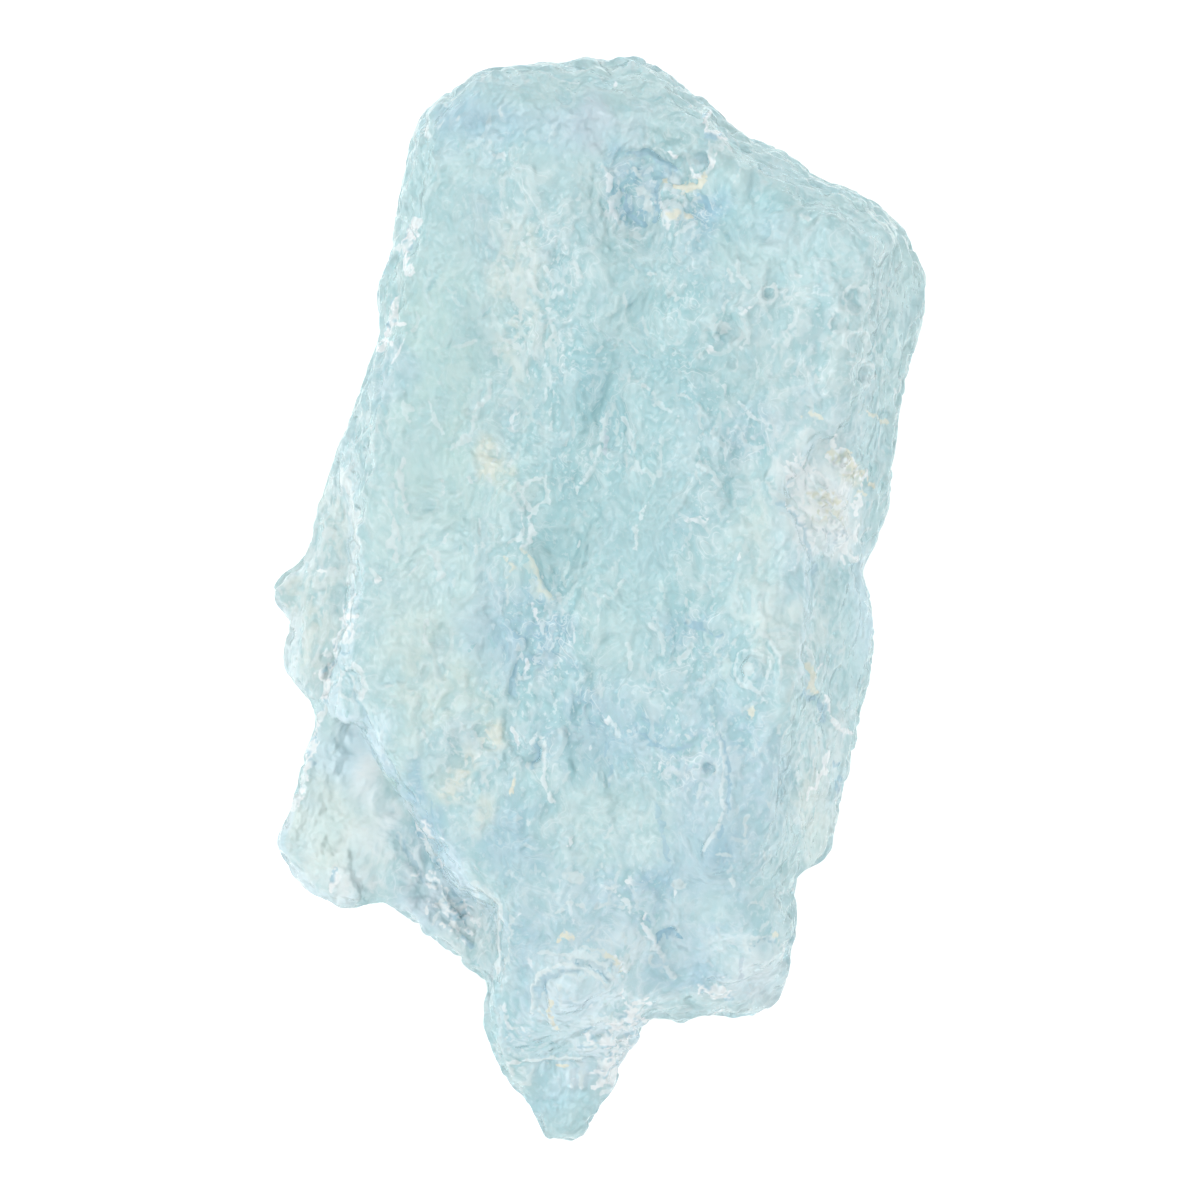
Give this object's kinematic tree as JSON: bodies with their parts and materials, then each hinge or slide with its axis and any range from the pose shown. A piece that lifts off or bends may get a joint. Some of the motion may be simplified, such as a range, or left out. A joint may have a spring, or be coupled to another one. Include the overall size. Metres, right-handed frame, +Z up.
{
  "type": "rough aquamarine crystal",
  "caption": "Rough etched aquamarine: one flattened prism of pale blue-green beryl with broken ends, stepped sides and a tapering stub, lying on a flat prism face.",
  "frame": {"origin": "middle of the bounding box in plan, on the resting face", "axes": "+X across the crystal to the right of its show face, +Y along its long side towards the broader head, +Z up out of the show face"},
  "size_m": [0.0324, 0.0539, 0.018],
  "materials": {
    "beryl": "translucent pale blue-green, wet-looking etched surface"
  },
  "bodies": {
    "root": {"aquamarine_crystal": "beryl"}
  },
  "joints": []
}
